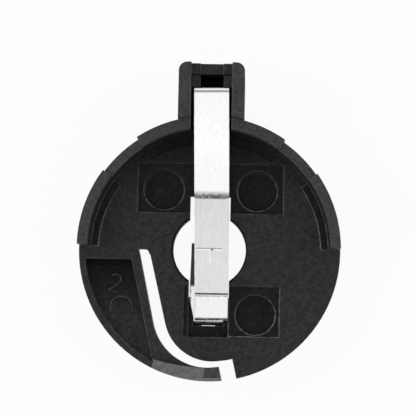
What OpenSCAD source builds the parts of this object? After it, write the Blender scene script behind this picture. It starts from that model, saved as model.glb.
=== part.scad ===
// Through-hole holder for one 20 mm coin cell.
// A moulded round base with an upright tower carries two stamped contacts: the positive strip
// comes out of the tower and crosses the cell, the negative tongue rises through the floor.
// A springy arm with a ramped catch closes the side where the cell slides in.
// The origin is on the cell's axis in the plane of the circuit board, and the tower is towards +Y.

/* [Cell] */
// Diameter of the cell
cell_d = 20; // [18:0.1:26]
// Play of the cell in its pocket, on the diameter
cell_play = 0.9; // [0.3:0.1:1.5]
// Depth of the pocket, which is the thickness of the thickest cell
cell_t = 3.2; // [2.8:0.1:4.5]

/* [Base] */
// Thickness of the moulded floor
floor_t = 1.2; // [1:0.1:1.8]
// Clear height under the floor, which is the height of the feet
foot_h = 1; // [0.8:0.1:1.6]
// Thickness of the rim wall
rim_t = 1.05; // [0.7:0.05:1.6]
// Angle from the tower's middle to the end of the tall front rim
rim_front_angle = 34; // [25:1:42]
// Angle from the tower's middle to the end of the set-back rim
rim_setback_angle = 54.5; // [45:0.5:65]
// How far the set-back rim is lower
rim_drop = 0.5; // [0.2:0.1:1.2]
// How far the set-back rim stands in from the base's edge
rim_setback = 0.2; // [0.1:0.05:0.4]
// Lead-in chamfer on the rim's inner edge
rim_chamfer = 0.12; // [0.05:0.01:0.3]
// Width of the ledge at the foot of the side rims
ledge_w = 0.7; // [0.3:0.1:1.2]
// Height of that ledge
ledge_h = 0.25; // [0.1:0.05:0.5]
// Width of the moulding relief at the foot of the front rim
relief_w = 0.9; // [0.3:0.1:1.2]
// Depth of that relief
relief_depth = 0.25; // [0.1:0.05:0.5]

/* [Holes and recesses] */
// Diameter of the hole in the middle
hole_d = 6.4; // [5:0.1:8]
// Chamfer round that hole
hole_chamfer = 0.2; // [0.1:0.05:0.4]
// Length of the slot under the negative tongue, from the middle towards the tower
slot_up = 4.75; // [4:0.05:6]
// Depth of the recesses in the floor
recess_depth = 0.4; // [0.2:0.05:0.6]
// Distance of the upper feet from the middle line
foot_x = 4.12; // [3.6:0.02:5]
// Distance of the upper feet from the middle, towards the tower
foot_up = 5.3; // [4.8:0.05:6]
// Distance of the lower foot from the middle, towards the catch
foot_down = 5.6; // [5:0.05:6.5]
// Diameter of the feet
foot_d = 4.4; // [4:0.1:5.4]
// Diameter of the sockets that core the feet
socket_d = 3.55; // [2.6:0.05:4.2]
// Thickness of plastic left under a socket
socket_floor = 0.9; // [0.6:0.1:1.4]
// Length of the upper recess
upper_recess_l = 12.9; // [11:0.1:14]
// How far the upper recess is shifted from its sockets, towards the tower
upper_recess_shift = 0.17; // [0:0.01:0.2]
// How far the lower recess is shifted from its socket, towards the middle
lower_recess_shift = 0.28; // [0:0.01:0.3]
// Width of the recesses
recess_w = 4.45; // [4:0.05:5.2]
// Lip of the lower recess beside the well
recess_lip = 0.45; // [0.2:0.05:0.7]

/* [Tower] */
// Width of the tower
tower_w = 5.72; // [5.2:0.02:7]
// How far the tower reaches out from the base's edge
tower_reach = 4.55; // [4:0.05:6]
// Height of the tower's cheeks above the rim
tower_rise = 1; // [0.4:0.1:2]
// Radius of the tower's outer corners
tower_corner_r = 0.75; // [0.2:0.05:1.2]
// Thickness of the tower's back wall
back_t = 0.9; // [0.6:0.05:1.3]
// How far the back wall is lower than the cheeks
back_drop = 0.9; // [0.3:0.1:1.5]
// Depth of the notch in the top of the back wall
back_notch = 0.3; // [0.1:0.1:0.8]
// Width of the notch, and of the shaft behind the contact
shaft_w = 2; // [1.4:0.1:2.6]
// How far the shoulders beside the shaft are below the cheeks
shoulder_drop = 1.9; // [1.2:0.1:3]
// Length of those shoulders, measured from the back wall
shoulder_l = 1.04; // [0.6:0.02:1.2]

/* [Spring arm] */
// Distance of the arm's inner edge from the middle, at its root
arm_x = 6.22; // [5.6:0.02:7]
// Lean of that edge, in degrees
arm_lean = 12.2; // [10:0.1:15]
// Radius of that edge's bend
arm_bend_r = 4.85; // [4:0.05:5.5]
// Clearance from the cell to the catch
catch_clearance = 0.3; // [0.1:0.05:0.6]
// Radius of the catch's inner face
catch_bow_r = 17.6; // [14:0.1:30]
// Width of the gap beside the arm at its root
gap_w = 0.91; // [0.6:0.01:1.2]
// Lean of the gap's other edge, in degrees
gap_lean = 13.5; // [12:0.1:15]
// Radius of the bend of the gap's other edge
gap_bend_r = 4.2; // [3.5:0.05:4.8]
// Width of the gap where it passes the catch
gap_tip_w = 0.55; // [0.4:0.05:0.9]
// Upward slope of the gap's last stretch, in degrees
gap_tail_slope = 7; // [4:1:12]
// Distance of the gap's root end below the middle
gap_start = 0; // [0:0.05:1]
// Radius of the gap's rounded root corner
gap_corner_r = 0.4; // [0.2:0.05:0.45]
// Angle of the base's edge beyond the arm's end from the side opposite the tower, in degrees
arm_end_angle = 13; // [8:0.5:16]
// Width of the notch between the arm's end and the base
arm_end_gap = 1.3; // [0.8:0.05:1.6]
// Height of the catch above the floor
catch_h = 2; // [1.2:0.1:3]
// Length of the catch's level top
catch_top_l = 1.2; // [0.8:0.05:2]
// Length of the catch's ramp
catch_ramp_l = 4.7; // [3:0.1:5]
// How far the catch's outer face slopes in
catch_taper = 0.32; // [0.1:0.02:0.6]
// Lip of the arm outside its recess
arm_lip = 0.54; // [0.4:0.02:0.9]
// Depth of the arm's recess
arm_recess_depth = 0.55; // [0.3:0.05:0.8]
// Rib between the arm's recess and the gap, at the root
arm_rib = 0.62; // [0.4:0.02:0.9]
// Distance of the recess's root end below the middle
arm_recess_start = 0.93; // [0.6:0.01:1.6]
// Width of the hinge groove at the root end of the recess
hinge_groove_w = 0.6; // [0.3:0.05:1]
// Depth of that groove below the recess
hinge_groove_depth = 0.2; // [0.1:0.05:0.3]
// Diameter of the ejector pad in the recess
ejector_d = 2; // [1:0.1:2.4]
// Height of the ejector pad
ejector_h = 0.12; // [0.05:0.01:0.3]
// Distance of the ejector pad's middle from the base's edge
ejector_inset = 2.26; // [1.8:0.02:3]
// Angle of the ejector pad below the side of the base, in degrees
ejector_angle = 34; // [28:1:40]

/* [Contacts] */
// Thickness of the positive contact
pos_t = 0.35; // [0.25:0.05:0.5]
// Width of the positive contact
pos_w = 3.1; // [2.6:0.05:3.3]
// Width of the negative contact's plate
neg_w = 3.4; // [2.8:0.05:3.6]
// Thickness of the negative contact
neg_t = 0.3; // [0.2:0.05:0.4]
// Clearance on each side of the positive contact in its channel
contact_clearance = 0.22; // [0.1:0.01:0.4]
// Clearance on each side of the negative contact in its well
well_clearance = 0.07; // [0.03:0.01:0.2]
// Clearance of the contacts' tangs in their slots
tang_clearance = 0.05; // [0.02:0.01:0.1]
// Distance of the positive tang's outer face from the tower's back wall
tang_inset = 1.4; // [1.2:0.05:2]
// Height of the positive strip's level part above the floor, free of load
strip_lift = 1.15; // [0.9:0.05:1.4]
// Length of the level part towards the tower
strip_flat_up = 4.7; // [3.5:0.1:5.5]
// Length of the level part towards the catch
strip_flat_down = 3.9; // [3:0.1:4.5]
// Height of the strip's bend below the tower's cheeks
strip_drop = 0.45; // [0.3:0.05:1]
// Angle of the strip's turned-up tip, in degrees
tip_angle = 32; // [20:1:40]
// Length of that tip
tip_l = 2.5; // [1.5:0.1:3]
// Inner radius of the contacts' bends
bend_r = 0.3; // [0.2:0.05:0.4]
// Spacing of the two solder pins
pin_pitch = 20; // [18.5:0.1:26]
// Width of a solder pin
pin_w = 1.1; // [0.8:0.05:1.4]
// Length of a solder pin below the board plane
pin_l = 2.8; // [2:0.1:4]
// Width of the tangs
tang_w = 2; // [1.6:0.1:2.4]
// Depth of the negative contact's well below the floor
well_depth = 1.25; // [0.9:0.05:1.6]
// Length of the well beyond the pin
well_end = 1.25; // [0.8:0.05:1.6]
// Length of the negative contact's plate in the well
plate_l = 2.3; // [1.8:0.05:3]
// Width of the negative contact where it bends down
neg_leg_w = 2.6; // [2:0.1:3]
// Depth of the relief under that bend
bend_relief = 0.45; // [0.4:0.05:0.6]
// Wall of the pad round the well
pad_wall = 0.7; // [0.5:0.05:1]
// Height of the negative tongue's crest above the floor, free of load
tongue_lift = 0.5; // [0.3:0.05:0.7]
// Distance of the crest from the middle, towards the tower
tongue_past = 0.4; // [0:0.1:1]
// Length of the tongue's tip beyond the crest
tongue_tip_l = 1.1; // [0.6:0.1:1.5]
// Downward angle of that tip
tongue_tip_angle = 14; // [8:1:25]
// Width of the tongue at its root
tongue_root_w = 3.3; // [2.6:0.05:3.35]
// Width of the tongue at its tip
tongue_tip_w = 2.4; // [1.4:0.1:2.8]

/* [Hidden] */
$fn = 96;

plastic = [0.17, 0.17, 0.18];
plated = [0.82, 0.83, 0.84];
far = 40;
over = 0.5;

cell_r = cell_d / 2;
pocket_r = (cell_d + cell_play) / 2;
base_r = pocket_r + rim_t;
floor_z = foot_h + floor_t;
rim_z = floor_z + cell_t;
cheek_z = rim_z + tower_rise;
back_z = cheek_z - back_drop;

channel_w = pos_w + 2 * contact_clearance;
tower_y = base_r + tower_reach;
back_y = tower_y - back_t;
tang_y = back_y - tang_inset;

slot_w = neg_w + 2 * well_clearance;
well_z = floor_z - well_depth;
neg_pin_y = tang_y - pos_t / 2 - pin_pitch;
well_end_y = neg_pin_y - well_end;
slot_end_y = neg_pin_y + plate_l;

hole_r = hole_d / 2;
catch_r = cell_r + catch_clearance;
end_dir = 270 + arm_end_angle;
gap_x = arm_x - gap_w;

// ---- outlines ----

// A pie slice from angle a0 to a1, wide enough to cut any circle here
module slice(a0, a1) {
    steps = 6;
    polygon(concat([[0, 0]], [for (i = [0:steps])
        let (a = a0 + (a1 - a0) * i / steps) far * [cos(a), sin(a)]]));
}

module ring_slice(r_out, r_in, a0, a1) {
    intersection() {
        difference() {
            circle(r_out);
            circle(r_in);
        }
        slice(a0, a1);
    }
}

// The area to the right of a leaning edge that bends round under the cell:
// a line that starts at x0 and leans by lean, an arc of radius r whose lowest point
// is at -low, and a last stretch that rises by tail degrees
module hooked_area(x0, lean, r, low, tail) {
    start = [x0, -gap_start];
    along = [sin(lean), -cos(lean)];
    inward = [cos(lean), sin(lean)];
    mid_y = r - low;
    run = (start.y + r * inward.y - mid_y) / cos(lean);
    centre = start + run * along + r * inward;
    tail_point = centre + r * [sin(tail), -cos(tail)];
    tail_end = tail_point + far * [cos(tail), sin(tail)];
    translate(centre) circle(r);
    polygon([start, start + run * along, centre, tail_point, tail_end, [tail_end.x, start.y]]);
}

// The slit that frees the spring arm, with the notch past the arm's end
module arm_gap_outline() {
    corner = [-gap_x - gap_corner_r, -gap_start - gap_corner_r];
    difference() {
        intersection() {
            difference() {
                hooked_area(-arm_x, arm_lean, arm_bend_r, catch_r, gap_tail_slope);
                hooked_area(-gap_x, gap_lean, gap_bend_r, catch_r - gap_tip_w, gap_tail_slope);
            }
            rotate(end_dir) translate([-far, -far]) square([2 * far, far]);
        }
        // rounded root corner
        difference() {
            translate(corner) square(1.2 * gap_corner_r);
            translate(corner) circle(gap_corner_r);
        }
    }
    // notch past the arm's end
    rotate(end_dir) translate([catch_r - gap_tip_w, -arm_end_gap]) square([far, arm_end_gap]);
}

module arm_recess_outline() {
    top = [-arm_x - arm_rib, -arm_recess_start];
    intersection() {
        circle(base_r - arm_lip);
        polygon([
            [-far, top.y],
            top,
            top + far * [sin(arm_lean + 1), -cos(arm_lean + 1)],
            [-far, -far]
        ]);
    }
}

module contact_slot_outline() {
    translate([-slot_w / 2, slot_end_y]) square([slot_w, slot_up - slot_end_y]);
}

// The three feet, whose cores are sockets in the floor
module foot_places() {
    for (x = [-foot_x, foot_x])
        translate([x, foot_up]) children();
    translate([foot_x, -foot_down]) children();
}

// ---- housing ----

module base_plate() {
    translate([0, 0, foot_h]) cylinder(r = base_r, h = floor_t);
    foot_places() cylinder(d = foot_d, h = foot_h + floor_t / 2);
    // pad round the negative contact's well
    translate([-slot_w / 2 - pad_wall, well_end_y - pad_wall, 0])
        cube([slot_w + 2 * pad_wall, slot_end_y - well_end_y + pad_wall, foot_h + floor_t / 2]);
}

module rims() {
    front = rim_front_angle;
    side = rim_setback_angle;
    difference() {
        union() {
            translate([0, 0, floor_z - over]) linear_extrude(cell_t + over)
                ring_slice(base_r, pocket_r, 90 - front, 90 + front);
            for (m = [0, 1]) mirror([m, 0, 0]) {
                translate([0, 0, floor_z - over]) linear_extrude(cell_t - rim_drop + over)
                    ring_slice(base_r - rim_setback, pocket_r, 90 - side, 90 - front);
                translate([0, 0, floor_z - over]) linear_extrude(cell_t + over)
                    ring_slice(base_r - rim_setback / 2, pocket_r, 1, 90 - side);
                translate([0, 0, floor_z - over]) linear_extrude(ledge_h + over)
                    ring_slice(pocket_r + over, pocket_r - ledge_w, 1, 90 - side);
            }
        }
        translate([0, 0, rim_z - rim_chamfer])
            cylinder(r1 = pocket_r, r2 = pocket_r + 2 * rim_chamfer, h = 2 * rim_chamfer);
    }
}

module tower_block() {
    r = tower_corner_r;
    linear_extrude(cheek_z) difference() {
        union() {
            translate([-tower_w / 2, 0]) square([tower_w, tower_y - r]);
            translate([-tower_w / 2 + r, 0]) square([tower_w - 2 * r, tower_y]);
            for (x = [-1, 1])
                translate([x * (tower_w / 2 - r), tower_y - r]) circle(r);
        }
        circle(base_r - over);
    }
}

module tower_cavities() {
    // the cheeks end where the round rim begins
    translate([0, 0, rim_z]) cylinder(r = base_r, h = tower_rise + over);
    // channel that the strip lies in
    translate([-channel_w / 2, pocket_r - rim_t, floor_z])
        cube([channel_w, back_y - shoulder_l - pocket_r + rim_t, far]);
    // room over the shoulders
    translate([-channel_w / 2, back_y - shoulder_l - over, cheek_z - shoulder_drop])
        cube([channel_w, shoulder_l + over, far]);
    // shaft behind the contact
    translate([-shaft_w / 2, back_y - shoulder_l - over, floor_z - floor_t / 2])
        cube([shaft_w, shoulder_l + over, far]);
    // lowered back wall with its notch
    translate([-channel_w / 2, back_y - over, back_z])
        cube([channel_w, far, far]);
    translate([-shaft_w / 2, back_y - over, back_z - back_notch])
        cube([shaft_w, far, far]);
    // slot for the positive tang
    translate([0, tang_y - pos_t / 2, 0]) tang_slot(tang_w, pos_t, floor_z + over);
}

module tang_slot(w, t, top) {
    c = tang_clearance;
    translate([-w / 2 - c, -t / 2 - c, -over]) cube([w + 2 * c, t + 2 * c, top + over]);
}

module floor_cavities() {
    // shallow recesses round the sockets
    translate([0, 0, floor_z - recess_depth]) linear_extrude(far) intersection() {
        union() {
            translate([-upper_recess_l / 2, foot_up + upper_recess_shift - recess_w / 2])
                square([upper_recess_l, recess_w]);
            translate([-slot_w / 2 - recess_lip, lower_recess_shift - foot_down - recess_w / 2])
                square([upper_recess_l / 2 + slot_w / 2 + recess_lip - 0.2, recess_w]);
        }
        circle(pocket_r);
    }
    // sockets that core the feet
    foot_places() translate([0, 0, socket_floor]) cylinder(d = socket_d, h = far);
    // middle hole, chamfered at the floor
    translate([0, 0, -over]) cylinder(r = hole_r, h = far);
    translate([0, 0, floor_z - hole_chamfer])
        cylinder(r1 = hole_r, r2 = hole_r + 2 * hole_chamfer, h = 2 * hole_chamfer);
    // slot under the tongue, and the well that the negative contact lies in
    translate([0, 0, -over]) linear_extrude(far) contact_slot_outline();
    translate([-slot_w / 2, well_end_y, well_z])
        cube([slot_w, slot_end_y + over - well_end_y, far]);
    negative_leg_slot();
    // moulding relief along the front rim
    translate([0, 0, floor_z - relief_depth]) linear_extrude(cell_t)
        ring_slice(pocket_r, pocket_r - relief_w, 90 - rim_front_angle, 90 + rim_front_angle);
}

module negative_leg_slot() {
    c = tang_clearance;
    leg_w = neg_leg_w + 2 * c;
    translate([-leg_w / 2, neg_pin_y - neg_t / 2 - c, well_z - bend_relief])
        cube([leg_w, neg_t + bend_r + 2 * c, bend_relief + over]);
    translate([0, neg_pin_y, 0]) tang_slot(pin_w, neg_t, well_z);
}

module arm_recess() {
    recess_z = floor_z - arm_recess_depth;
    translate([0, 0, recess_z]) linear_extrude(far) arm_recess_outline();
    // hinge groove at the root
    translate([0, 0, recess_z - hinge_groove_depth]) linear_extrude(far) intersection() {
        arm_recess_outline();
        translate([-far, -arm_recess_start - hinge_groove_w]) square([far, hinge_groove_w + over]);
    }
}

module ejector_pad() {
    depth = arm_recess_depth + over / 2;
    r = base_r - ejector_inset;
    translate([-r * cos(ejector_angle), -r * sin(ejector_angle), floor_z - depth])
        cylinder(d = ejector_d, h = depth - arm_recess_depth + ejector_h);
}

// The catch is a wall along the arm's outer edge that ramps up towards the arm's end
module arm_catch() {
    top_z = floor_z + catch_h;
    end_x = catch_r * cos(end_dir) - arm_end_gap;
    top_x = end_x - catch_top_l;
    intersection() {
        translate([0, 0, floor_z - over]) linear_extrude(catch_h + over) difference() {
            circle(base_r);
            translate([0, catch_bow_r - catch_r]) circle(catch_bow_r);
        }
        // outer face that slopes in
        rotate_extrude() polygon([
            [0, floor_z - over],
            [base_r, floor_z - over],
            [base_r, floor_z],
            [base_r - catch_taper, top_z],
            [0, top_z]
        ]);
        // ramp and level top
        rotate([90, 0, 0]) linear_extrude(far) polygon([
            [top_x - catch_ramp_l, floor_z - over],
            [top_x - catch_ramp_l, floor_z],
            [top_x, top_z],
            [end_x + over, top_z],
            [end_x + over, floor_z - over]
        ]);
    }
}

module housing() color(plastic) {
    difference() {
        union() {
            base_plate();
            rims();
            tower_block();
            arm_catch();
        }
        floor_cavities();
        tower_cavities();
        arm_recess();
        translate([0, 0, -over]) linear_extrude(far) arm_gap_outline();
    }
    ejector_pad();
}

// ---- contacts ----

function heading(p, q) = atan2(q.y - p.y, q.x - p.x);

// Turn of a path at its corner i, positive to the left
function turn_at(path, i) =
    (heading(path[i], path[i + 1]) - heading(path[i - 1], path[i]) + 540) % 360 - 180;

// Length that the bend at corner i takes from each straight beside it
function bend_inset(path, i, t, r) = i == 0 || i == len(path) - 1 ? 0
    : (turn_at(path, i) > 0 ? r + t : r) * tan(abs(turn_at(path, i)) / 2);

// Side view of a strip of thickness t that lies to the left of a path of straight lines,
// with each corner bent to the inner radius r
module bent_strip(path, t, r) {
    translate(path[0]) rotate(heading(path[0], path[1])) strip_from(path, t, r, 0);
}

module strip_from(path, t, r, i) {
    run = norm(path[i + 1] - path[i]) - bend_inset(path, i, t, r) - bend_inset(path, i + 1, t, r);
    square([run, t]);
    if (i < len(path) - 2) {
        turn = turn_at(path, i + 1);
        pivot = turn > 0 ? t + r : -r;
        translate([run, pivot]) {
            intersection() {
                difference() {
                    circle(r + t);
                    circle(r);
                }
                translate([0, -far]) square([far, 2 * far]);
                rotate(turn) translate([-far, -far]) square([far, 2 * far]);
            }
            rotate(turn) translate([0, -pivot]) strip_from(path, t, r, i + 1);
        }
    }
}

// Gives a side view, drawn as length and height, its width across the holder
module across(w) {
    translate([-w / 2, 0, 0]) rotate([90, 0, 90]) linear_extrude(w) children();
}

// A tang that narrows to the solder pin, with its outer face at y
module pin_tang(y, t, w, shoulder_z, top_z) {
    point = pin_w / 3;
    translate([0, y + t, 0]) rotate([90, 0, 0]) linear_extrude(t) {
        translate([-w / 2, shoulder_z]) square([w, top_z - shoulder_z]);
        polygon([
            [-pin_w / 2, shoulder_z + over / 2],
            [-pin_w / 2, -pin_l + point],
            [-pin_w / 2 + point, -pin_l],
            [pin_w / 2 - point, -pin_l],
            [pin_w / 2, -pin_l + point],
            [pin_w / 2, shoulder_z + over / 2]
        ]);
    }
}

module positive_contact() color(plated) {
    flat_z = floor_z + strip_lift + pos_t;
    tip = [-strip_flat_down, flat_z] + tip_l * [-cos(tip_angle), sin(tip_angle)];
    across(pos_w) bent_strip([
        [tang_y, floor_z],
        [tang_y, cheek_z - strip_drop],
        [strip_flat_up, flat_z],
        [-strip_flat_down, flat_z],
        tip
    ], pos_t, bend_r);
    pin_tang(tang_y - pos_t, pos_t, tang_w, foot_h / 2, floor_z + over / 2);
}

module negative_contact() color(plated) {
    inner_y = neg_pin_y + neg_t / 2;
    crest = [tongue_past, floor_z + tongue_lift - neg_t];
    tip = crest + tongue_tip_l * [cos(tongue_tip_angle), -sin(tongue_tip_angle)];
    shoulder_z = well_z - bend_relief + tang_clearance;
    intersection() {
        across(neg_w) bent_strip([
            [inner_y, shoulder_z],
            [inner_y, well_z],
            [slot_end_y, well_z],
            crest,
            tip
        ], neg_t, bend_r);
        linear_extrude(far) negative_blank();
    }
    pin_tang(neg_pin_y - neg_t / 2, neg_t, pin_w, shoulder_z, well_z - bend_r);
}

// The negative contact from above: a narrow leg, the plate and the tapering tongue
module negative_blank() {
    leg = neg_leg_w / 2;
    plate = neg_w / 2;
    bend_y = neg_pin_y + neg_t / 2 + bend_r;
    right = [
        [leg, neg_pin_y - neg_t],
        [leg, bend_y],
        [plate, bend_y + plate - leg],
        [plate, slot_end_y],
        [tongue_root_w / 2, slot_end_y],
        [tongue_tip_w / 2, tongue_past + tongue_tip_l]
    ];
    left = [for (i = [len(right) - 1:-1:0]) [-right[i].x, right[i].y]];
    polygon(concat(right, left));
}

housing();
positive_contact();
negative_contact();
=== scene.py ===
import math

import bmesh
import bpy
from mathutils import Matrix, Vector


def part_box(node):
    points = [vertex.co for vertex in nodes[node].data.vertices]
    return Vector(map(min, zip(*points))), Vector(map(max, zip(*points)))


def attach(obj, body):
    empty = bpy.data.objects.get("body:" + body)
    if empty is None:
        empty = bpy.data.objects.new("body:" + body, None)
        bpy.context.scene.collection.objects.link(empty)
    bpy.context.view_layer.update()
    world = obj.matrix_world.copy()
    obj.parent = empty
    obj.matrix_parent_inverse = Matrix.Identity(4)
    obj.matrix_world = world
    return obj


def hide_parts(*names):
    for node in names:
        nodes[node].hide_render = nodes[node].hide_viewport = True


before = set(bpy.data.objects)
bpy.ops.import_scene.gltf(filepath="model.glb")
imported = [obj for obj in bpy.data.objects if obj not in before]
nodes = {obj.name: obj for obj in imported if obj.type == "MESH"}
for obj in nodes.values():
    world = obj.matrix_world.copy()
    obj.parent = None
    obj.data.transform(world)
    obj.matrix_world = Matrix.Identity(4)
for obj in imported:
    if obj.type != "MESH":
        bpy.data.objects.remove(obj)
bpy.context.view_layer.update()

MM = 0.001
scene = bpy.context.scene

# Heights in the row's frame, in mm, that the pieces made here share with the CAD.
FLOOR_Z = 2.2
ARM_FLOOR_Z = 1.65
WELL_Z = 0.95
PIN_TIP_Z = -2.8


# ---- node helpers ----

def new_material(name):
    material = bpy.data.materials.new(name)
    material.use_nodes = True
    material.node_tree.nodes.clear()
    return material, material.node_tree


def add(tree, kind, settings=None, inputs=None):
    """A node with its properties set; an input is a socket to link or a value."""
    node = tree.nodes.new(kind)
    for key, value in (settings or {}).items():
        setattr(node, key, value)
    for key, value in (inputs or {}).items():
        socket = node.inputs[key]
        if isinstance(value, bpy.types.NodeSocket):
            tree.links.new(value, socket)
        else:
            socket.default_value = value
    return node


def math_node(tree, operation, a, b):
    return add(tree, "ShaderNodeMath", {"operation": operation}, {0: a, 1: b}).outputs[0]


def absolute(tree, value):
    return add(tree, "ShaderNodeMath", {"operation": "ABSOLUTE"}, {0: value}).outputs[0]


def product(tree, *values):
    result = values[0]
    for value in values[1:]:
        result = math_node(tree, "MULTIPLY", result, value)
    return result


def strongest(tree, *values):
    result = values[0]
    for value in values[1:]:
        result = math_node(tree, "MAXIMUM", result, value)
    return result


def object_coordinates(tree):
    return add(tree, "ShaderNodeTexCoord").outputs["Object"]


def axes_of(tree, vector):
    return add(tree, "ShaderNodeSeparateXYZ", {}, {0: vector}).outputs


def noise(tree, vector, scale, detail, roughness):
    return add(tree, "ShaderNodeTexNoise", {}, {
        "Vector": vector, "Scale": scale, "Detail": detail, "Roughness": roughness}).outputs["Fac"]


def remap(tree, value, low, high, to_low=0.0, to_high=1.0):
    return add(tree, "ShaderNodeMapRange", {"clamp": True}, {
        "Value": value, "From Min": low, "From Max": high,
        "To Min": to_low, "To Max": to_high}).outputs["Result"]


def ramp(tree, coordinate, zero_at, one_at):
    """A smooth step along a coordinate, from 0 to 1 between two places in mm."""
    return add(tree, "ShaderNodeMapRange", {"interpolation_type": "SMOOTHSTEP"}, {
        "Value": coordinate, "From Min": zero_at * MM, "From Max": one_at * MM,
        "To Min": 0.0, "To Max": 1.0}).outputs["Result"]


def band(tree, coordinate, centre, half, soft):
    """1 within half of a centre, falling to 0 over soft, all in mm."""
    away = absolute(tree, math_node(tree, "SUBTRACT", coordinate, centre * MM))
    return ramp(tree, away, half + soft, half)


def grey(value):
    return (value, value, value)


def mix_color(tree, factor, a, b):
    """Mixes two colours; each is a socket or three numbers."""
    node = add(tree, "ShaderNodeMix", {"data_type": "RGBA", "blend_type": "MIX"})
    for socket, value in ((node.inputs[0], factor), (node.inputs[6], a), (node.inputs[7], b)):
        if isinstance(value, bpy.types.NodeSocket):
            tree.links.new(value, socket)
        elif isinstance(value, float):
            socket.default_value = value
        else:
            socket.default_value = (*value, 1.0)
    return node.outputs[2]


def bumped(tree, height, strength, distance, rounded):
    return add(tree, "ShaderNodeBump", {}, {
        "Strength": strength, "Distance": distance * MM, "Height": height,
        "Normal": rounded}).outputs["Normal"]


def rounded_normal(tree, radius):
    bevel = add(tree, "ShaderNodeBevel", {"samples": 8}, {"Radius": radius * MM})
    return bevel.outputs["Normal"]


def use_surface(tree, shader, kind="ShaderNodeOutputMaterial"):
    output = add(tree, kind)
    tree.links.new(shader.outputs[0], output.inputs["Surface"])


def set_material(thing, *materials):
    thing.data.materials.clear()
    for material in materials:
        thing.data.materials.append(material)


# ---- materials ----

# Tone of the painted shade, and the part of the plastic's gloss that is left in it.
PAINTED_SHADE_TONE = 0.0015
PAINTED_SHADE_GLOSS = 0.3


def black_plastic(name, ior, dark, light, rough, edge_tone, edge_radius, painted_shade=None):
    """Moulded black plastic: mottled tone, fine grain, and rounded edges with a painted highlight
    that is strongest on edges leaning towards +Y, where the light catches them. The last argument,
    if given, is two
    places along Y, in mm: at the first and beyond it the plastic has painted shade, deep black with
    less gloss, and at the second and in front of it the plastic is as usual; not a change of the
    real plastic."""
    material, tree = new_material(name)
    where = object_coordinates(tree)
    mottle = noise(tree, where, 2600.0, 4.0, 0.65)
    grain = noise(tree, where, 5200.0, 3.0, 0.65)
    cloud = noise(tree, where, 260.0, 2.0, 0.5)

    rounded = rounded_normal(tree, edge_radius)
    flat = add(tree, "ShaderNodeNewGeometry").outputs["Normal"]
    facing = add(tree, "ShaderNodeVectorMath", {"operation": "DOT_PRODUCT"}, {
        0: rounded, 1: flat}).outputs["Value"]
    # painted highlight along rounded edges, broken up by mottle, strongest where they lean towards
    # +Y
    edge = remap(tree, facing, 0.995, 0.85)
    lean = axes_of(tree, rounded)["Y"]
    painted_edge_highlight = product(tree, edge, remap(tree, mottle, 0.38, 0.60, 0.3, 1.0),
                   remap(tree, cloud, 0.36, 0.62, 0.4, 1.0),
                   remap(tree, lean, -0.35, 0.15, 0.3, 1.1))

    tone = mix_color(tree, remap(tree, mottle, 0.32, 0.68), grey(dark), grey(light))
    speck = product(tree, remap(tree, grain, 0.55, 0.75), 0.6)
    tone = mix_color(tree, speck, tone, grey(1.8 * light))
    gloss = remap(tree, mottle, 0.35, 0.65, 0.41, 0.59)
    # painted shade: deep black with less gloss at the first place along Y and beyond it, gone by the
    # second
    if painted_shade:
        shade_y, full_y = painted_shade
        full = remap(tree, axes_of(tree, where)["Y"], shade_y * MM, full_y * MM)
        tone = mix_color(tree, full, grey(PAINTED_SHADE_TONE), tone)
        painted_edge_highlight = product(tree, painted_edge_highlight, full)
        gloss = product(tree, gloss, remap(tree, full, 0.0, 1.0, PAINTED_SHADE_GLOSS, 1.0))
    tone = mix_color(tree, painted_edge_highlight, tone, grey(edge_tone))

    rough_low, rough_high = rough
    roughness = math_node(tree, "ADD", remap(tree, grain, 0.3, 0.7, rough_low, rough_high),
                          remap(tree, cloud, 0.3, 0.7, -0.04, 0.04))
    height = math_node(tree, "ADD", product(tree, grain, 0.6), product(tree, mottle, 0.4))
    shader = add(tree, "ShaderNodeBsdfPrincipled", {}, {
        "Base Color": tone, "Roughness": roughness, "Specular IOR Level": gloss,
        "Normal": bumped(tree, height, 0.45, 0.02, rounded)})
    shader.inputs["IOR"].default_value = ior
    use_surface(tree, shader)
    return material


# Tones of the plated strips: the plating between its two limits, then what lies over it: dull
# patches, the painted highlight, and the dark of rough marks, painted shade and painted dark
# reflections.
PLATING = (0.745, 0.745, 0.74), (0.785, 0.785, 0.78)
PLATING_DULL, PAINTED_HIGHLIGHT_TONE, DARK_MARK_AND_SHADE_TONE = 0.62, 0.97, 0.06


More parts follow.
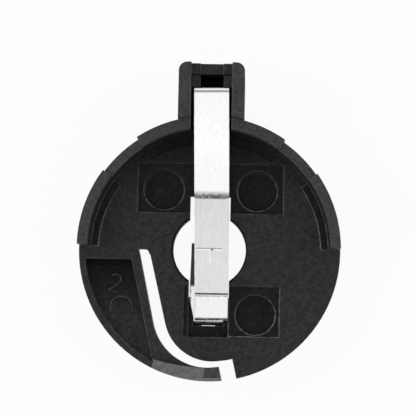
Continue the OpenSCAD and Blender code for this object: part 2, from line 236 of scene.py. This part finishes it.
def plated_metal(name, marks):
    """Plated strip: fine rolling marks along Y, cloudy plating, and what a function adds. The
    function gives
    four masks: darkened (rough marks, painted shade and painted dark reflections), painted
    highlight, pressed in and burred."""
    material, tree = new_material(name)
    where = object_coordinates(tree)
    across_rolling = add(tree, "ShaderNodeVectorMath", {"operation": "MULTIPLY"}, {
        0: where, 1: (9000.0, 900.0, 9000.0)}).outputs[0]
    rolled = noise(tree, across_rolling, 1.0, 3.0, 0.6)
    mottle = noise(tree, where, 3200.0, 4.0, 0.65)
    cloud = noise(tree, where, 420.0, 3.0, 0.5)
    dark, painted_highlight, groove, burr = marks(tree, axes_of(tree, where), mottle)

    tone = mix_color(tree, remap(tree, cloud, 0.3, 0.7), *PLATING)
    tone = mix_color(tree, remap(tree, mottle, 0.40, 0.70, 0.0, 0.12), tone, grey(PLATING_DULL))
    # painted highlight, then the dark of rough marks, painted shade and painted dark reflections
    tone = mix_color(tree, painted_highlight, tone, grey(PAINTED_HIGHLIGHT_TONE))
    tone = mix_color(tree, dark, tone, grey(DARK_MARK_AND_SHADE_TONE))

    roughness = math_node(tree, "ADD", remap(tree, rolled, 0.3, 0.7, 0.20, 0.27),
                          remap(tree, cloud, 0.3, 0.7, -0.02, 0.03))
    roughness = math_node(tree, "ADD", roughness,
                          product(tree, strongest(tree, dark, burr), 0.25))
    height = math_node(tree, "ADD", product(tree, rolled, 0.4), product(tree, mottle, 0.4))
    height = math_node(tree, "SUBTRACT", height, product(tree, groove, 3.0))
    height = math_node(tree, "ADD", height, product(tree, burr, mottle, 14.0))
    shader = add(tree, "ShaderNodeBsdfPrincipled", {}, {
        "Base Color": tone, "Roughness": roughness,
        "Normal": bumped(tree, height, 0.2, 0.015, rounded_normal(tree, 0.04))})
    shader.inputs["Metallic"].default_value = 1.0
    use_surface(tree, shader)
    return material


# Where the marks of the positive strip are, in mm.
CROSS_X, CROSS_Y, CROSS_HALF = 0.02, -0.02, 1.1
UPPER_BEND_Y, LOWER_BEND_Y = 4.44, -3.88


def positive_marks_and_light(tree, axes, mottle):
    """The polarity cross as a painted highlight, with a painted shadow line above its bar and a
    pressed dot darkened with painted shade; painted dark reflections along the two bends; and the
    cut end, rough and darkened with painted shade, all drawn in the material.
    """
    x, y = axes["X"], axes["Y"]
    # painted highlight of the pressed cross, and painted shadow above its bar and in its dot
    across = product(tree, band(tree, y, CROSS_Y, 0.03, 0.05),
                     band(tree, x, CROSS_X, CROSS_HALF, 0.1))
    down = product(tree, band(tree, x, 0.1, 0.03, 0.05), band(tree, y, -0.62, 0.45, 0.15),
                   remap(tree, mottle, 0.38, 0.58, 0.1, 1.0))
    dot = product(tree, band(tree, x, 0.27, 0.05, 0.06), band(tree, y, CROSS_Y, 0.05, 0.06))
    above = product(tree, band(tree, y, 0.07, 0.02, 0.04),
                    band(tree, x, CROSS_X, CROSS_HALF, 0.1))

    # painted dark reflections along the two bends
    upper_bend = product(tree, ramp(tree, y, 5.2, 4.6), ramp(tree, y, UPPER_BEND_Y, 4.50),
                         remap(tree, mottle, 0.35, 0.60, 0.55, 1.0))
    upper_line = product(tree, band(tree, y, UPPER_BEND_Y, 0.02, 0.05),
                         band(tree, x, 0.06, 1.35, 0.1))
    lower_line = product(tree, band(tree, y, -4.08, 0.02, 0.05),
                         remap(tree, mottle, 0.40, 0.55, 0.2, 0.7))
    lower_bend = strongest(tree, band(tree, y, LOWER_BEND_Y, 0.05, 0.06), lower_line)
    # the cut end: rough, and darkened with painted shade
    cut_end_and_shade = product(tree, ramp(tree, y, -5.93, -6.03),
                      remap(tree, mottle, 0.38, 0.54, 0.15, 1.0))
    side_burr = product(tree, ramp(tree, x, -0.95, -1.2), ramp(tree, y, -4.0, -4.3))

    dark = strongest(tree, product(tree, above, 0.55), product(tree, dot, 0.9),
                     product(tree, upper_bend, 0.92), product(tree, upper_line, 0.6),
                     product(tree, lower_bend, 0.92), product(tree, cut_end_and_shade, 0.9))
    painted_highlight = strongest(tree, across, down)
    groove = strongest(tree, dot, lower_bend)
    burr = strongest(tree, cut_end_and_shade, side_burr)
    return dark, painted_highlight, groove, burr


def negative_marks_and_shade(tree, axes, mottle):
    """The plate's end at its bend and its left edge, rough and darkened with a painted dark
    reflection, and the tongue's left side, darkened by its place as painted shadow of the strip
    above it."""
    x, y, z = axes["X"], axes["Y"], axes["Z"]
    # the plate's end where it bends down: rough, with a painted dark reflection
    end = product(tree, ramp(tree, y, -6.1, -6.4), ramp(tree, z, 0.85, 1.0),
                  remap(tree, mottle, 0.42, 0.58))
    # the plate's left edge: rough, with a painted dark reflection of the well's wall
    left = product(tree, ramp(tree, x, -1.5, -1.66), remap(tree, mottle, 0.44, 0.56, 0.1, 0.8))
    # painted shadow of the strip on the tongue's left side
    tongue_side_shadow = product(tree, ramp(tree, x, -1.15, -1.3), ramp(tree, y, -3.3, -3.0))
    dark = strongest(tree, product(tree, end, 0.85), left, tongue_side_shadow)
    no_highlight = 0.0
    return dark, no_highlight, end, strongest(tree, end, left)


# ---- the housing's plastics ----

# One moulding has one plastic. Its faces have six blacks here to come near the photo's tones. Its
# faces have six blacks here, lit and shaded copies of it: painted light on the rim tops and the
# catch's ramp, painted shade in the recesses, on the arm and on the floor.
SATIN, SMOOTH = (0.40, 0.56), (0.34, 0.50)
body_plastic = black_plastic("black_plastic_body", ior=1.42, dark=0.007, light=0.016,
                             rough=SATIN, edge_tone=0.14, edge_radius=0.12)
# lit copy with painted light: the rim tops
lit_top_plastic = black_plastic("black_plastic_lit_top", ior=1.50, dark=0.015, light=0.032,
                            rough=SATIN, edge_tone=0.13, edge_radius=0.10)
# shaded copy with painted shade: recesses, sockets and ledges, deepest towards the back
shaded_recess_plastic = black_plastic("black_plastic_shaded_recess", ior=1.28, dark=0.001, light=0.007,
                               rough=SMOOTH, edge_tone=0.32, edge_radius=0.16, painted_shade=(10.5, 7.8))
# lit copy with painted light: the catch's ramp
lit_catch_plastic = black_plastic("black_plastic_lit_catch", ior=1.50, dark=0.022, light=0.090,
                              rough=SMOOTH, edge_tone=0.30, edge_radius=0.10)
# shaded copy with painted shade: the arm, deepest at its root
shaded_arm_plastic = black_plastic("black_plastic_shaded_arm", ior=1.34, dark=0.003, light=0.017,
                            rough=(0.36, 0.52), edge_tone=0.26, edge_radius=0.16,
                            painted_shade=(-0.9, -6.5))
# shaded copy with painted shade: the floor, deepest towards the back
shaded_floor_plastic = black_plastic("black_plastic_shaded_floor", ior=1.40, dark=0.004, light=0.016,
                              rough=SATIN, edge_tone=0.15, edge_radius=0.13, painted_shade=(11.5, 4.5))
numeral_plastic = black_plastic("black_plastic_numeral", ior=1.40, dark=0.004, light=0.018,
                                rough=(0.30, 0.42), edge_tone=0.15, edge_radius=0.08)
HOUSING_PLASTICS = (body_plastic, lit_top_plastic, shaded_recess_plastic, lit_catch_plastic, shaded_arm_plastic,
                    shaded_floor_plastic)
BODY, TOP, RECESS, CATCH, ARM, FLOOR = range(len(HOUSING_PLASTICS))

# What tells the faces apart: the upward part of a face's normal, and places in mm.
LEVEL, UPWARD = 0.9, 0.5
CATCH_Y, CATCH_Z, CATCH_LOW_SLOPE, CATCH_HIGH_SLOPE = -9.0, 2.25, 0.2, 0.98
ARM_X, ARM_FRONT_Y, ARM_ROOT_Y = -4.0, -11.0, -0.9
RIM_TOPS_Z, SHAFT_Y, SHAFT_Z = 4.1, 15.0, 6.0
UNDER_FLOOR_Z, ABOVE_FLOOR_Z = 2.15, 2.4
LEDGE_TOP_Z = 2.5
CURVED_RECESS_Z, CURVED_RECESS_RADIUS = 1.0, 9.15
RECESS_WALL_Z, RECESS_WALL_RADIUS = 0.0, 10.6


def zone(mesh, polygon):
    """Which of the six blacks, lit and shaded copies of one plastic, a face of the housing has, by
    its place, height and slope.
    """
    centre, up = polygon.center / MM, polygon.normal.z
    under_floor = centre.z < UNDER_FLOOR_Z
    if (centre.y < CATCH_Y and centre.z > CATCH_Z
            and CATCH_LOW_SLOPE < up < CATCH_HIGH_SLOPE):
        return CATCH
    if (under_floor and up > UPWARD and centre.x < ARM_X
            and ARM_FRONT_Y < centre.y < ARM_ROOT_Y):
        return ARM
    in_shaft = centre.y > SHAFT_Y and centre.z < SHAFT_Z
    if up > LEVEL and centre.z > RIM_TOPS_Z and not in_shaft:
        return TOP
    nearest = min((mesh.vertices[i].co.xy / MM).length for i in polygon.vertices)
    if (under_floor and centre.z > CURVED_RECESS_Z and up > UPWARD
            and nearest > CURVED_RECESS_RADIUS):
        return FLOOR
    recess_wall = (abs(up) < UPWARD and centre.z > RECESS_WALL_Z
                   and centre.xy.length < RECESS_WALL_RADIUS)
    ledge = ABOVE_FLOOR_Z < centre.z < LEDGE_TOP_Z and up > LEVEL
    if under_floor and (up > UPWARD or recess_wall) or ledge:
        return RECESS
    if up > LEVEL and centre.z < ABOVE_FLOOR_Z:
        return FLOOR
    return BODY


housing = nodes["housing"]
set_material(housing, *HOUSING_PLASTICS)
for polygon in housing.data.polygons:
    polygon.material_index = zone(housing.data, polygon)


# ---- the two contacts ----

def link_data(name, data):
    thing = bpy.data.objects.new(name, data)
    scene.collection.objects.link(thing)
    return thing


def smooth_faces(mesh):
    mesh.polygons.foreach_set("use_smooth", [True] * len(mesh.polygons))


BEND_STEPS = 7


def bent_path(corners, radius, t):
    """Side view of a strip: points (y, z) of its outer face and the directions across its thickness.
    The metal lies to the left of the path; a corner bends to the given inner radius."""
    points = []
    for i, corner in enumerate(corners):
        here = Vector(corner)
        if i in (0, len(corners) - 1):
            other = Vector(corners[1] if i == 0 else corners[-2])
            along = (other - here if i == 0 else here - other).normalized()
            points.append((here, Vector((-along.y, along.x))))
            continue
        before = (here - Vector(corners[i - 1])).normalized()
        after = (Vector(corners[i + 1]) - here).normalized()
        turn = math.atan2(before.x * after.y - before.y * after.x, before.dot(after))
        outer = radius + t if turn > 0 else radius
        start = here - before * outer * math.tan(abs(turn) / 2)
        left = Vector((-before.y, before.x))
        pivot = start + left * (outer if turn > 0 else -outer)
        for k in range(BEND_STEPS + 1):
            spin = Matrix.Rotation(turn * k / BEND_STEPS, 2)
            points.append((pivot + spin @ (start - pivot), spin @ left))
    return points


def strip_mesh(name, points, t, half_width, skew=0.0, pivot=(0.0, 0.0)):
    """A closed strip along points (y, z) with thickness t; half_width gives its half width at a
    point. skew turns it in plan about the pivot."""
    turn = Matrix.Rotation(skew, 2)
    centre = Vector(pivot)
    verts, faces = [], []
    for i, (point, across) in enumerate(points):
        half = half_width(i, point)
        for side, depth in ((-1, 0.0), (1, 0.0), (1, t), (-1, t)):
            flat = point + across * depth
            plan = centre + turn @ (Vector((side * half, flat.x)) - centre)
            verts.append((plan.x * MM, plan.y * MM, flat.y * MM))
    for i in range(len(points) - 1):
        for j in range(4):
            a, b = 4 * i + j, 4 * i + (j + 1) % 4
            faces.append((a, b, b + 4, a + 4))
    last = 4 * (len(points) - 1)
    faces.append((3, 2, 1, 0))
    faces.append((last, last + 1, last + 2, last + 3))

    mesh = bpy.data.meshes.new(name)
    mesh.from_pydata(verts, [], faces)
    edit = bmesh.new()
    edit.from_mesh(mesh)
    bmesh.ops.recalc_face_normals(edit, faces=edit.faces)
    edit.to_mesh(mesh)
    edit.free()
    smooth_faces(mesh)
    thing = link_data(name, mesh)
    soft = thing.modifiers.new("soft_edges", "BEVEL")
    soft.width = 0.03 * MM
    soft.segments = 2
    soft.limit_method = "ANGLE"
    soft.angle_limit = math.radians(40)
    soft.harden_normals = True
    return thing


PIN_POINT_HALF, PIN_HALF, PIN_POINT_L = 0.18, 0.55, 0.37
STEP = 0.01  # height of the step between two widths


def pin_part(y, shoulder, top):
    """Points up a pin and its tang, with the outer face at y and the metal on its -Y side."""
    heights = (PIN_TIP_Z, PIN_TIP_Z + PIN_POINT_L, shoulder, shoulder + STEP, top, top + STEP)
    return [(Vector((y, z)), Vector((-1.0, 0.0))) for z in heights]


def between(value, low, high):
    return min(max(value, low), high)


def positive_contact():
    """The strip over the cell. It is tapered and a little askew, as in the photo."""
    t, bend_radius, askew = 0.35, 0.14, math.radians(0.95)
    tang_half, half, taper = 1.0, 1.525, 0.10
    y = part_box("positive_contact")[1].y / MM
    lean_out, leg_top_z = 0.31, 5.95
    level_z, level_start, level_end = 3.70, 4.7, -3.9
    tip = (-6.02, 5.02)
    pin = pin_part(y, 0.5, FLOOR_Z)
    rest = bent_path([(y, FLOOR_Z + 0.02), (y + lean_out, leg_top_z), (level_start, level_z),
                      (level_end, level_z), tip], bend_radius, t)
    lower_halves = [PIN_POINT_HALF, PIN_HALF, PIN_HALF, tang_half, tang_half, half]
    taper_start, taper_length = 1.5, 7.5

    def half_width(i, point):
        if i < len(lower_halves):
            return lower_halves[i]
        return half - taper * between((taper_start - point.x) / taper_length, 0.0, 1.0)

    strip = strip_mesh("positive_strip", pin + rest, t, half_width, askew, (0.0, y - t / 2))
    set_material(strip, plated_metal("plated_strip", positive_marks_and_light))
    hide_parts("positive_contact")
    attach(strip, "root")


def negative_contact():
    """The plate in the well and the tongue that rises from it."""
    t, bend_radius, y = 0.3, 0.3, -6.275
    leg_half, plate_half, tongue_half = 1.3, 1.7, 1.56
    root_y, tongue_y = -4.13, -3.3
    crest, end = (-0.1, 2.38), (0.5, 2.24)
    pin = pin_part(y, 0.54, 0.56)
    rest = bent_path([(y, 0.60), (y, WELL_Z), (root_y, WELL_Z), crest, end], bend_radius, t)
    lower_halves = [PIN_POINT_HALF, PIN_HALF, PIN_HALF, leg_half, leg_half, leg_half]
    widen_start, widen_length, widen_end = 0.3, 0.4, 0.75

    def half_width(i, point):
        if i < len(lower_halves):
            return lower_halves[i]
        if point.x < y + widen_end:
            widened = between((point.x - y - widen_start) / widen_length, 0.0, 1.0)
            return leg_half + (plate_half - leg_half) * widened
        return plate_half if point.x < tongue_y else tongue_half

    strip = strip_mesh("negative_strip", pin + rest, t, half_width)
    set_material(strip, plated_metal("plated_tongue", negative_marks_and_shade))
    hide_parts("negative_contact")
    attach(strip, "root")


positive_contact()
negative_contact()


# ---- the numeral moulded on the arm ----

# Cross-section of a stroke: places across its width, and their part of its height.
STROKE_PROFILE = [(-0.5, 0.0), (-0.46, 0.6), (-0.3, 1.0), (0.3, 1.0), (0.46, 0.6), (0.5, 0.0)]


def raised_stroke(name, points, width, bottom, top):
    """A rounded stroke that stands on a flat face; points are in the row's frame, in mm."""
    verts, faces = [], []
    for i, point in enumerate(points):
        ahead = Vector(points[min(i + 1, len(points) - 1)]) - Vector(points[max(i - 1, 0)])
        side = Vector((-ahead.y, ahead.x)).normalized()
        for across, up in STROKE_PROFILE:
            flat = Vector(point) + side * across * width
            verts.append((flat.x * MM, flat.y * MM, (bottom + up * (top - bottom)) * MM))
    n = len(STROKE_PROFILE)
    for i in range(len(points) - 1):
        for j in range(n - 1):
            a = i * n + j
            faces.append((a, a + 1, a + 1 + n, a + n))
    faces.append(tuple(range(n)))
    faces.append(tuple(reversed(range(len(verts) - n, len(verts)))))
    mesh = bpy.data.meshes.new(name)
    mesh.from_pydata(verts, [], faces)
    smooth_faces(mesh)
    return link_data(name, mesh)


def numeral_two(centre, height, lean):
    """The line of a 2: a bowl from its upper left, a diagonal, and a foot to the right."""
    half, width = height / 2, height * 0.62
    bowl_steps, bowl_start, bowl_sweep = 14, 165, 195
    points = []
    for i in range(bowl_steps + 1):
        a = math.radians(bowl_start - bowl_sweep * i / bowl_steps)
        points.append((width / 2 * math.cos(a), half * 0.52 + half * 0.48 * math.sin(a)))
    points += [(width * 0.30, 0.02 * height), (-width * 0.1, -0.25 * height), (-width / 2, -half)]
    points += [(-width / 2 + width * k / 4, -half) for k in (1, 2, 3, 4)]
    turn = Matrix.Rotation(math.radians(lean), 2)
    return [tuple(Vector(centre) + turn @ Vector(p)) for p in points]


numeral = raised_stroke("mould_numeral", numeral_two((-8.25, -3.0), height=1.5, lean=-10.0),
                        width=0.26, bottom=ARM_FLOOR_Z - 0.02, top=ARM_FLOOR_Z + 0.2)
set_material(numeral, numeral_plastic)
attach(numeral, "root")


# ---- floor, light and camera ----

FLOOR_SHEET_HALF = 0.6   # m
FLOOR_SHEET_Z = -2.82    # mm, just under the pins
FLOOR_WHITENESS = 0.93   # how far the floor is plain white to the camera and to reflections


def floor_sheet():
    """A pale sheet that is nearly white where it is seen and keeps the object's soft shadow."""
    half, z = FLOOR_SHEET_HALF, FLOOR_SHEET_Z * MM
    mesh = bpy.data.meshes.new("floor")
    corners = [(-half, -half, z), (half, -half, z), (half, half, z), (-half, half, z)]
    mesh.from_pydata(corners, [], [(0, 1, 2, 3)])
    thing = link_data("floor", mesh)
    material, tree = new_material("pale_floor")
    fibre = noise(tree, object_coordinates(tree), 700.0, 4.0, 0.6)
    tone = mix_color(tree, remap(tree, fibre, 0.3, 0.7), grey(0.86), grey(0.90))
    paper = add(tree, "ShaderNodeBsdfDiffuse", {}, {"Color": tone})
    path = add(tree, "ShaderNodeLightPath").outputs
    glow = add(tree, "ShaderNodeEmission", {}, {"Color": (1, 1, 1, 1), "Strength": 1.0})
    seen = strongest(tree, path["Is Camera Ray"], path["Is Glossy Ray"],
                     path["Is Transmission Ray"])
    mix = add(tree, "ShaderNodeMixShader", {}, {0: product(tree, seen, FLOOR_WHITENESS)})
    tree.links.new(paper.outputs[0], mix.inputs[1])
    tree.links.new(glow.outputs[0], mix.inputs[2])
    use_surface(tree, mix)
    set_material(thing, material)


def soft_world():
    """White at the horizon, greyer overhead, the same for every ray."""
    world = bpy.data.worlds.new("studio")
    world.use_nodes = True
    tree = world.node_tree
    tree.nodes.clear()
    direction = add(tree, "ShaderNodeTexCoord").outputs["Generated"]
    strength = remap(tree, axes_of(tree, direction)["Z"], 0.25, 0.85, 1.0, 0.35)
    back = add(tree, "ShaderNodeBackground", {}, {"Color": (1, 1, 1, 1), "Strength": strength})
    use_surface(tree, back, "ShaderNodeOutputWorld")
    scene.world = world


LAMP_DISTANCE = 0.40  # m

# Name, tilt from straight above and turn from -Y towards +X in degrees, side in m, radiance.
LAMPS = (
    ("overhead_panel", 4, 0, 0.15, 0.95),
    ("front_panel", 27, 0, 0.20, 0.93),
    ("left_panel", 46, -90, 0.20, 3.0),
    ("right_panel", 52, 90, 0.20, 1.6),
    ("back_panel", 62, 180, 0.22, 0.42),
)


def soft_lamp(name, tilt, turn, size, radiance):
    """A square lamp that faces the object."""
    t, a = math.radians(tilt), math.radians(turn)
    direction = Vector((math.sin(t) * math.sin(a), -math.sin(t) * math.cos(a), math.cos(t)))
    lamp = bpy.data.lights.new(name, "AREA")
    lamp.shape = "SQUARE"
    lamp.size = size
    lamp.energy = radiance * math.pi * size * size
    thing = link_data(name, lamp)
    thing.location = direction * LAMP_DISTANCE
    thing.rotation_mode = "QUATERNION"
    thing.rotation_quaternion = direction.to_track_quat("Z", "Y")


def photo_camera():
    """The photo's view: almost straight down, a little from -Y and +X, and slightly rolled."""
    field, target, distance = 13.35, (-0.20, 3.72, 2.2), 156.6
    roll, side, low = math.radians(1.2), math.radians(1.45), math.radians(4.5)
    data = bpy.data.cameras.new("camera")
    data.sensor_width = 36.0
    data.lens = 18.0 / math.tan(math.radians(field / 2))
    data.clip_start, data.clip_end = 0.005, 5.0
    thing = link_data("camera", data)
    away = Vector((math.sin(side), -math.sin(low), 1.0)).normalized()
    away = Matrix.Rotation(roll, 3, "Z") @ away
    up = Vector((-math.sin(roll), math.cos(roll), 0.0))
    right = up.cross(away).normalized()
    up = away.cross(right)
    thing.rotation_mode = "QUATERNION"
    thing.rotation_quaternion = Matrix((right, up, away)).transposed().to_quaternion()
    thing.location = Vector(target) * MM + away * distance * MM
    scene.camera = thing


floor_sheet()
soft_world()
for lamp_row in LAMPS:
    soft_lamp(*lamp_row)
photo_camera()
scene.view_settings.view_transform = "Standard"
